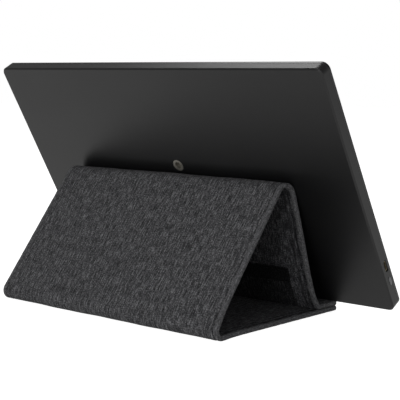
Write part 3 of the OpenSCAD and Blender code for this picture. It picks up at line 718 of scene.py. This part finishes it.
class ClosingTape(Operator):
    """Makes the woven tape that closes the pocket's mouth, sewn to the flap's lining along both its edges"""
    bl_idname = "monitor_stand.closing_tape"
    bl_label = "Closing Tape"

    def execute(self, context):
        cover, tone = context.scene.cover_sizes, context.scene.cover_colours
        material = woven("closing_tape_weave", tuple(c * 0.5 for c in tone.tape), tone.tape, tone.tape_light,
                         yarn=0.5, streak=2.0, bump=0.8)
        half = cover.thickness / 2
        rows, top = 15, cover.mouth - 1.5 * MM
        # it stands 0.7 mm proud with rounded edges, and a seam 1.8 mm in draws it down by 0.22 mm
        up = np.linspace(0, cover.tape, rows)
        rim = np.minimum(up, cover.tape - up)
        swell = 0.7 * MM * np.sqrt(np.clip(rim / (0.8 * MM), 0.05, 1))
        swell -= 0.22 * MM * np.exp(-((rim - 1.8 * MM) / (0.5 * MM)) ** 2)
        share = (top - cover.tape) / FRONT_RUN, top / FRONT_RUN
        faces = cover.lining - half + 0.1 * MM, cover.pocket - half
        piece = panel_sheet("closing_tape_strip", cover, FRONT, share, rows, faces, cover.facing, material,
                            extra=swell)
        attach(piece, "front_panel")
        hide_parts("closing_tape")
        return {"FINISHED"}


def line_run(line):
    """Way along a line of points at each of them."""
    return np.concatenate([[0], np.cumsum(np.linalg.norm(np.diff(line, axis=0), axis=1))])


def rim_line(cover, stations, inset, offset, corner_round):
    """Half of a line round the cover's edge, at x = half the width less inset: along the given stations, and
    where they end at a free end, round a quarter circle of corner_round and across to the middle. Returns its
    points and normals."""
    x = np.array([cover.width / 2 - inset])
    flat, normal = fold_path(x, offset, stations, cover)
    line, way = in_frame(x, flat)[:, 0], in_frame(-FOOT[0], normal)[:, 0]
    for free, end in ((LIP_END, 0), (BASE_END, -1)):
        if tuple(stations[end]) != free:
            continue
        tip = line[end].copy()
        near = (np.abs(line[:, 1] - tip[1]) < corner_round) & (np.abs(line[:, 2] - tip[2]) < 1 * MM)
        line, way = line[~near], way[~near]
        angle = np.linspace(0, np.pi / 2, 9)
        turn_x = tip[0] - corner_round * (1 - np.cos(angle))
        turn_y = tip[1] + corner_round * (1 - np.sin(angle))
        run_x = np.linspace(turn_x[-1], FOOT[0], 50)[1:]
        more = np.zeros((len(turn_x) + len(run_x), 3))
        more[:, 0] = np.concatenate([turn_x, run_x])
        more[:, 1] = np.concatenate([turn_y, np.full(len(run_x), tip[1])])
        more[:, 2] = tip[2]
        facing = np.broadcast_to(way[0 if end == 0 else -1], more.shape)
        if end == 0:
            line, way = np.concatenate([more[::-1], line]), np.concatenate([facing, way])
        else:
            line, way = np.concatenate([line, more]), np.concatenate([way, facing])
    return line, way


def mirrored(line):
    """The same line on the cover's other side, in the other direction."""
    other = line.copy()
    other[:, 0] = FOOT[0] - (other[:, 0] - FOOT[0]) * spread(other[:, 1:])
    return other[::-1]


def whole_rims(cover, ends, inset, offset, corner_round):
    """Lines along the edge of one part of the cover: its two sides, or one line round a free end."""
    line, way = rim_line(cover, between(*ends), inset, offset, corner_round)
    other, other_way = mirrored(line), way[::-1].copy()
    if ends[0] == LIP_END:
        return [(np.concatenate([other, line[1:]]), np.concatenate([other_way, way[1:]]))]
    if ends[1] == BASE_END:
        return [(np.concatenate([line, other[1:]]), np.concatenate([way, other_way[1:]]))]
    return [(line, way), (other, other_way)]


class PipedEdges(Operator):
    """Makes the piped edges round the cover, a cord in turned cloth, in three parts that meet end to end"""
    bl_idname = "monitor_stand.piped_edges"
    bl_label = "Piped Edges"

    def execute(self, context):
        cover, tone = context.scene.cover_sizes, context.scene.cover_colours
        material = woven("melange_edge_piping", tone.cloth_dark, tone.piping, tone.cloth_light, streak=3.0,
                         contrast=0.8)
        radius = cover.thickness / 2
        corner_round, clear, pucker = 2.1 * MM, 0.02 * MM, 0.025
        stands_for = {
            "foot": ["lip_binding"],
            "ridge": ["front_binding", "rear_binding"],
            "heel": ["base_binding"],
        }
        for fold, ends in PARTS.items():
            parts = []
            for line, way in whole_rims(cover, ends, radius, 0.0, corner_round):
                run = line_run(line)
                gather = 1 + pucker * np.sin(run / (1.9 * MM)) * np.sin(run / (7.3 * MM))
                parts.append(tube(line, way, (radius - clear) * gather / (1 + pucker)))
            piece = make_piece(f"piped_edge_{fold}", *join_parts(parts), material, sharp=70)
            bend(piece)
            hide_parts(*stands_for[fold])
        return {"FINISHED"}


def stitch_row(line, way, cover, radius):
    """Stitches along a line: each is a small rounded bar of thread, two thirds of the stitch length long,
    that bows up in its middle, in five rings of six points. All are placed at once from the line's length."""
    run = line_run(line)
    count = int(run[-1] / cover.stitch)
    middle = (np.arange(count) + 0.5) * run[-1] / count
    share = np.linspace(-0.33, 0.33, 5)
    places = (middle[:, None] + share[None] * cover.stitch).ravel()
    values = [np.interp(places, run, column) for column in (*line.T, *way.T)]
    at, normal = np.split(np.stack(values, axis=-1).reshape(count, 5, 6), 2, axis=-1)
    normal = normal / np.linalg.norm(normal, axis=-1, keepdims=True)
    along = at[:, -1:] - at[:, :1]
    along /= np.linalg.norm(along, axis=-1, keepdims=True)
    side = np.cross(along, normal)
    bow = np.array([-1.2, 0.2, 0.6, 0.2, -1.2])[None, :, None] * radius
    thick = np.array([0.35, 0.95, 1.0, 0.95, 0.35])[None, :, None, None] * radius
    angle = np.linspace(0, 2 * np.pi, 6, endpoint=False)
    ring = np.cos(angle)[:, None] * normal[:, :, None] + np.sin(angle)[:, None] * side[:, :, None]
    rings = (at + normal * bow)[:, :, None] + thick * ring
    single = np.concatenate([grid_quads(5, 6, wrap=True), band_quads(np.arange(3), np.arange(5, 2, -1)),
                             band_quads(np.arange(24, 27)[::-1], np.arange(27, 30))])
    quads = (single[None] + 30 * np.arange(count)[:, None, None]).reshape(-1, 4)
    points = rings.reshape(-1, 3)
    return points, quads, points[:, :2].copy()


class Stitching(Operator):
    """Makes the rows of stitches beside the piping, on the outer cloth and on the pocket's inner face"""
    bl_idname = "monitor_stand.stitching"
    bl_label = "Stitching"

    def execute(self, context):
        cover, tone = context.scene.cover_sizes, context.scene.cover_colours
        # Bonded polyester thread, dark and a little glossy, with its twist as a fine grain
        material = plain("bonded_polyester_thread", tone.thread, 0.6, grain=3000, bump=0.2)
        thread_r, corner_round = 0.24 * MM, 1.5 * MM
        face = cover.thickness / 2 - FURROW + thread_r / 2
        for fold, ends in PARTS.items():
            parts = []
            for side in (1, -1):
                for line, way in whole_rims(cover, ends, cover.stitch_in, side * face, corner_round):
                    parts.append(stitch_row(line, way * side, cover, thread_r))
            piece = make_piece(f"stitching_{fold}", *join_parts(parts), material)
            bend(piece)
        return {"FINISHED"}


class Boards(Operator):
    """Makes the stiffening boards of the front and the rear panel, which lie inside the folded cloth"""
    bl_idname = "monitor_stand.boards"
    bl_label = "Boards"

    def execute(self, context):
        cover = context.scene.cover_sizes
        # Grey board of pressed paper fibre: dull, warm grey, with a faint cloudy grain
        board = plain("grey_paper_board", linear("#8a7f6c"), 0.9, grain=700, bump=0.15)
        # Needled felt that fills the flap, soft and dull
        felt = plain("needled_felt", linear("#2b2b2d"), 1.0, grain=1500, bump=0.4)
        gap, end = 0.05 * MM, 1 * MM
        faces = cover.thickness / 2 - cover.cloth - gap, cover.pocket - cover.thickness / 2 + gap
        # node that it replaces, panel and its straight length, where it starts and ends along it, finish
        made = {
            "front_stiff_board": ("front_board", FRONT, FRONT_RUN, cover.mouth, FRONT_RUN - end, board),
            "rear_stiff_board": ("rear_board", REAR, REAR_RUN, end, REAR_RUN - end, board),
            "flap_felt": (None, FRONT, FRONT_RUN, 4 * MM, cover.mouth - end, felt),
        }
        for name, (node, segment, whole, low, high, finish) in made.items():
            share = low / whole, high / whole
            piece = panel_sheet(name, cover, segment, share, 24, faces, cover.margin, finish)
            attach(piece, "rear_panel" if segment == REAR else "front_panel")
            if node:
                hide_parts(node)
        give(board, "base_board")
        # Extruded polypropylene strip: dark and waxy
        give(plain("stiffener_strip_pp", linear("#2b2b2d"), 0.5), "lip_stiffener")
        # Nickel plated magnets, bright and slightly warm
        magnet = plain("nickel_plated_magnet", linear("#a9a79f"), 0.3, metallic=1.0)
        give(magnet, "lip_magnets", "base_magnets")
        return {"FINISHED"}


# ---------- the monitor ----------

class Housing(Operator):
    """Gives the monitor's moulded rear cover and its front bezel their finishes"""
    bl_idname = "monitor_stand.housing"
    bl_label = "Housing"

    def execute(self, context):
        tone = context.scene.monitor_colours
        give(hairline_abs(tone.cover), "rear_cover")
        # Fine spark-eroded ABS: an even satin gloss with the faintest grain
        give(plain("satin_moulded_abs", tone.bezel, 0.34, grain=2600, bump=0.06, spread=0.06), "front_bezel")
        return {"FINISHED"}


class Screen(Operator):
    """Gives the screen's glass and the sheets behind it their finishes"""
    bl_idname = "monitor_stand.screen"
    bl_label = "Screen"

    def execute(self, context):
        give(anti_glare_glass(context.scene.monitor_colours.glass), "lcd_glass")
        # Stack of milky plastic films: soft white with a satin face
        give(plain("milky_diffuser_film", linear("#e8e8e6"), 0.4, spread=0.03), "optical_films")
        # Cast acrylic plate, clear with a faint green edge
        acrylic = plain("clear_cast_acrylic", linear("#dfe8ea"), 0.08, spread=0.02, Transmission_Weight=0.8,
                        IOR=1.49)
        give(acrylic, "light_guide")
        # Foamed polyester film: plain white and dull
        give(plain("white_reflector_film", linear("#f0f0ee"), 0.6, spread=0.03), "reflector_sheet")
        # Cast resin with phosphor over the lamps: pale yellow, satin
        give(plain("lamp_phosphor", linear("#d8c9a0"), 0.5), "led_bar")
        # Pressed zinc-plated steel: bright grey, with a faint cloudy spangle
        give(plain("zinc_plated_steel", linear("#b9bcc0"), 0.35, metallic=1.0, grain=400), "panel_tray")
        return {"FINISHED"}


class Electronics(Operator):
    """Gives the boards inside the housing their finishes"""
    bl_idname = "monitor_stand.electronics"
    bl_label = "Electronics"

    def execute(self, context):
        # Green solder mask over glass cloth: dark green and glossy
        give(plain("green_solder_mask", linear("#1f4a33"), 0.3, grain=1200), "main_board", "timing_board")
        # Stamped tinned steel: bright and slightly cloudy
        give(plain("tinned_shield_steel", linear("#c4c7ca"), 0.35, metallic=1.0), "shield_can")
        # Laminated polyimide film: amber and smooth
        give(plain("polyimide_ribbon", linear("#b5905a"), 0.35), "panel_ribbon")
        # Rolled zinc-plated screws: mid grey metal, satin
        give(plain("zinc_plated_screw", linear("#8b8d90"), 0.4, metallic=1.0), "board_screws")
        # Moulded nylon: off-white and satin
        give(plain("white_nylon_switch", linear("#d9d9d6"), 0.5), "key_switch")
        return {"FINISHED"}


class Fittings(Operator):
    """Gives the port, the power key and the tripod insert their finishes"""
    bl_idname = "monitor_stand.fittings"
    bl_label = "Fittings"

    def execute(self, context):
        tone = context.scene.monitor_colours
        # Drawn steel with a warm nickel plate: pale gold, satin
        plate = plain("warm_nickel_plate", tone.port, 0.42, metallic=0.75, grain=3000, bump=0.02, spread=0.05)
        give(plate, "usb_c_shell")
        # Moulded liquid-crystal polymer: near black, satin
        give(plain("black_lcp_tongue", linear("#1b1b1c"), 0.45), "usb_c_tongue")
        # Moulded ABS key: mid grey, satin
        give(plain("satin_abs_key", tone.key, 0.35, grain=3000, bump=0.03, spread=0.05), "power_key")
        # Turned brass insert with a dull nickel plate: warm grey, its gloss broken by tool marks
        insert = plain("dull_nickel_insert", tone.insert, 0.5, metallic=0.7, grain=2500, bump=0.05)
        give(insert, "tripod_insert")
        return {"FINISHED"}


# ---------- stage ----------

AIM = Vector((0, 0, 0.1))       # the lamps point here, to the middle of the object
FLOOR_HALF = 6.0                # half the floor's side
# How white the surroundings look to camera rays, and which share of it gloss sees: half of it on the floor,
# and on the backdrop some near the horizon, which fades out as the direction's z goes from 0.1 to 0.5
FLOOR_WHITE, FLOOR_GLOSS = 0.93, 0.5
HORIZON_GLOSS, HORIZON_RISE = 0.3, (0.1, 0.5)


def put(name, data, place, turn):
    """Links a lamp or the camera at a place, with a turn as a quaternion."""
    holder = bpy.data.objects.new(name, data)
    holder.location = place
    holder.rotation_mode = "QUATERNION"
    holder.rotation_quaternion = turn
    bpy.context.scene.collection.objects.link(holder)
    return holder


def add_lamp(name, place, size, watts):
    """Soft rectangular lamp at a place, turned to AIM."""
    lamp = bpy.data.lights.new(name, "AREA")
    lamp.shape = "RECTANGLE"
    lamp.size, lamp.size_y = size
    lamp.energy = watts
    put(name, lamp, place, (AIM - Vector(place)).to_track_quat("-Z", "Y"))


def white_rays(tree, share):
    """1 for camera rays, which see the surroundings as plain white, and a share for the rays of gloss and for
    those through clear plastic. Light on the object itself comes from the lamps."""
    path = add(tree, "LightPath", {}).outputs
    other = add(tree, "Math", {0: path["Is Glossy Ray"], 1: path["Is Transmission Ray"]}, operation="MAXIMUM")
    part = add(tree, "Math", {0: other, 1: share}, operation="MULTIPLY")
    return add(tree, "Math", {0: path["Is Camera Ray"], 1: part}, operation="MAXIMUM")


class Stage(Operator):
    """Sets up the camera, the pale floor, the soft studio lamps and the white surroundings"""
    bl_idname = "monitor_stand.stage"
    bl_label = "Stage"

    def execute(self, context):
        scene, setting = context.scene, context.scene.stage_settings
        camera = bpy.data.cameras.new("camera")
        camera.sensor_width = 36
        camera.lens = setting.lens
        camera.clip_start, camera.clip_end = 0.01, 50
        a, e = setting.azimuth, setting.elevation
        back = Vector((math.sin(a) * math.cos(e), -math.cos(a) * math.cos(e), math.sin(e)))
        turn = back.to_track_quat("Z", "Y") @ Quaternion((0, 0, 1), -setting.roll)
        scene.camera = put("camera", camera, setting.camera_place, turn)
        scene.view_settings.view_transform = "Standard"

        half = FLOOR_HALF
        mesh = bpy.data.meshes.new("floor")
        mesh.from_pydata([(-half, -half, 0), (half, -half, 0), (half, half, 0), (-half, half, 0)], [],
                         [(0, 1, 2, 3)])
        floor = bpy.data.objects.new("floor", mesh)
        scene.collection.objects.link(floor)
        # Matt pale paper: white to the eye, with the object's soft shadow on it
        material, tree, shader = new_material("pale_studio_floor")
        feed(shader, {"Base Color": (*setting.floor, 1), "Roughness": 0.9, "Specular IOR Level": 0.1})
        lift = add(tree, "Math", {0: white_rays(tree, FLOOR_GLOSS), 1: FLOOR_WHITE}, operation="MULTIPLY")
        glow = add(tree, "Emission", {"Color": (1, 1, 1, 1), "Strength": lift})
        feed(tree.nodes["Material Output"], {"Surface": add(tree, "AddShader", {0: shader, 1: glow})})
        mesh.materials.append(material)

        world = bpy.data.worlds.new("surroundings")
        world.use_nodes = True
        scene.world = world
        tree = world.node_tree
        even = tree.nodes["Background"]
        feed(even, {"Color": (1, 1, 1, 1), "Strength": setting.ambient})
        white = add(tree, "Background", {"Color": (1, 1, 1, 1), "Strength": 1.0})
        toward = add(tree, "TexCoord", {}).outputs["Generated"]
        rise = add(tree, "SeparateXYZ", {"Vector": toward}).outputs["Z"]
        low, high = HORIZON_RISE
        share = add(tree, "MapRange", {"Value": rise, "From Min": low, "From Max": high,
                                       "To Min": HORIZON_GLOSS, "To Max": 0.0})
        mixed = add(tree, "MixShader", {"Fac": white_rays(tree, share), 1: even, 2: white})
        feed(tree.nodes["World Output"], {"Surface": mixed})

        add_lamp("key_lamp", (0.0, 1.1, 1.5), (1.3, 1.3), setting.key_power)
        add_lamp("back_lamp", (-0.2, 1.4, 0.2), (1.1, 0.4), setting.back_power)
        add_lamp("top_lamp", (0.8, -0.85, 1.6), (0.8, 0.8), setting.top_power)
        add_lamp("fill_lamp", (-1.6, 0.3, 0.1), (0.8, 0.2), setting.fill_power)
        return {"FINISHED"}


# ---------- add-on ----------

class MonitorPanel(Panel):
    """Sidebar panel that lists the pieces and their settings"""
    bl_idname = "VIEW3D_PT_monitor_stand"
    bl_label = "Monitor with Folded Cover"
    bl_space_type = "VIEW_3D"
    bl_region_type = "UI"
    bl_category = "Monitor"

    def draw(self, context):
        layout = self.layout
        for group in ("cover_sizes", "cover_colours", "monitor_colours", "stage_settings"):
            box = layout.box()
            settings = getattr(context.scene, group)
            for name in settings.__annotations__:
                box.prop(settings, name)
        for operator in OPERATORS:
            layout.operator(operator.bl_idname)


GROUPS = {"cover_sizes": CoverSizes, "cover_colours": CoverColours, "monitor_colours": MonitorColours,
          "stage_settings": StageSettings}
OPERATORS = (Stage, OuterCloth, PocketCloth, FlapLining, ClosingTape, PipedEdges, Stitching, Boards, Housing,
             Screen, Electronics, Fittings)


def register():
    for name, group in GROUPS.items():
        bpy.utils.register_class(group)
        setattr(bpy.types.Scene, name, PointerProperty(type=group))
    for part in (*OPERATORS, MonitorPanel):
        bpy.utils.register_class(part)


def unregister():
    for part in (MonitorPanel, *reversed(OPERATORS)):
        bpy.utils.unregister_class(part)
    for name, group in reversed(GROUPS.items()):
        delattr(bpy.types.Scene, name)
        bpy.utils.unregister_class(group)


def main():
    register()
    for operator in OPERATORS:
        module, name = operator.bl_idname.split(".")
        getattr(getattr(bpy.ops, module), name)()


if __name__ == "__main__":
    main()
